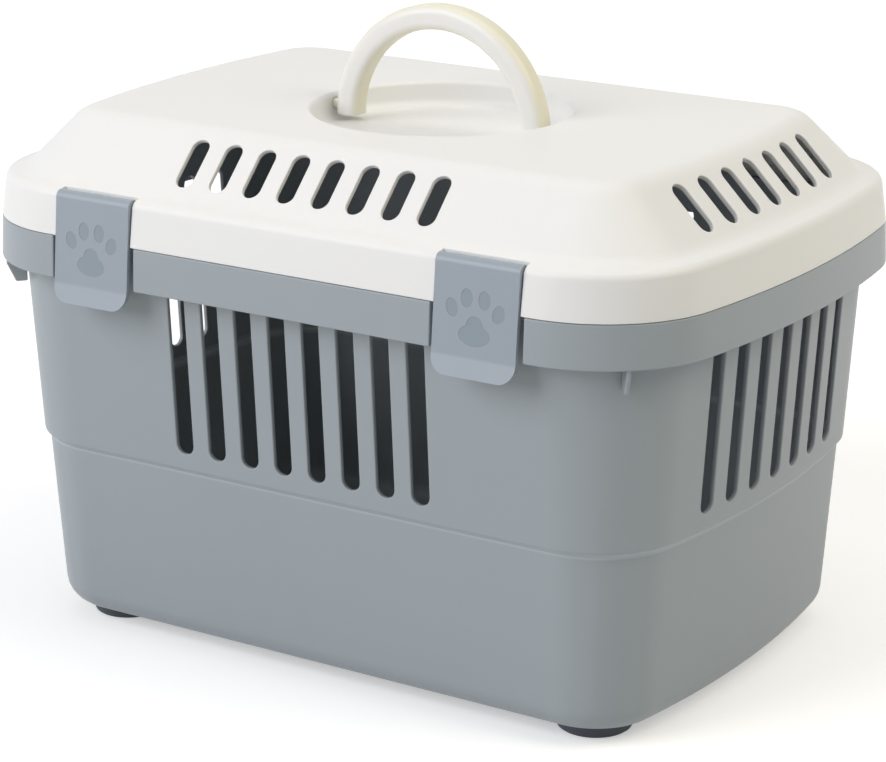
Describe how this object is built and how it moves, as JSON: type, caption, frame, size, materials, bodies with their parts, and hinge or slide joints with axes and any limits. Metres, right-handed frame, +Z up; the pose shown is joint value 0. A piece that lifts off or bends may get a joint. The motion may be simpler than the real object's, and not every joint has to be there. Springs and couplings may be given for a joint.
{
  "type": "pet carrier",
  "caption": "Small moulded pet carrier: slotted tub with rim and feet, rear-hinged vented lid, folding top handle in a round dish, and front locking clips.",
  "frame": {"origin": "on the floor plane under the middle of the body", "axes": "+X along the length, -Y towards the clips, +Z up"},
  "size_m": [0.3918, 0.28, 0.3033],
  "materials": {
    "tub_plastic": "satin moulded grey",
    "lid_plastic": "satin moulded white",
    "handle_plastic": "translucent natural",
    "clip_plastic": "satin moulded grey",
    "pin_plastic": "smooth",
    "foot_rubber": "matt"
  },
  "bodies": {
    "tub": {"tub_shell": "tub_plastic", "foot_front_left": "foot_rubber", "foot_front_right": "foot_rubber", "foot_rear_left": "foot_rubber", "foot_rear_right": "foot_rubber", "hinge_pin_left": "pin_plastic", "hinge_pin_right": "pin_plastic"},
    "lid": {"lid_shell": "lid_plastic", "hinge_strap_left": "clip_plastic", "hinge_strap_right": "clip_plastic"},
    "handle": {"handle_grip": "handle_plastic"},
    "clip_left": {"clip_left": "clip_plastic"},
    "clip_right": {"clip_right": "clip_plastic"}
  },
  "joints": [
    {"name": "lid_open", "type": "hinge", "parent": "tub", "child": "lid", "pos_m": [0, 0.1358, 0.1885], "axis": [-1, 0, 0], "range_deg": [0, 105]},
    {"name": "handle_fold", "type": "hinge", "parent": "lid", "child": "handle", "pos_m": [0, 0, 0.2488], "axis": [1, 0, 0], "range_deg": [-90, 90]},
    {"name": "clip_left_open", "type": "hinge", "parent": "lid", "child": "clip_left", "pos_m": [-0.1037, -0.13059, 0.2211], "axis": [-1, 0, 0], "range_deg": [0, 100]},
    {"name": "clip_right_open", "type": "hinge", "parent": "lid", "child": "clip_right", "pos_m": [0.1037, -0.13059, 0.2211], "axis": [-1, 0, 0], "range_deg": [0, 100]}
  ]
}
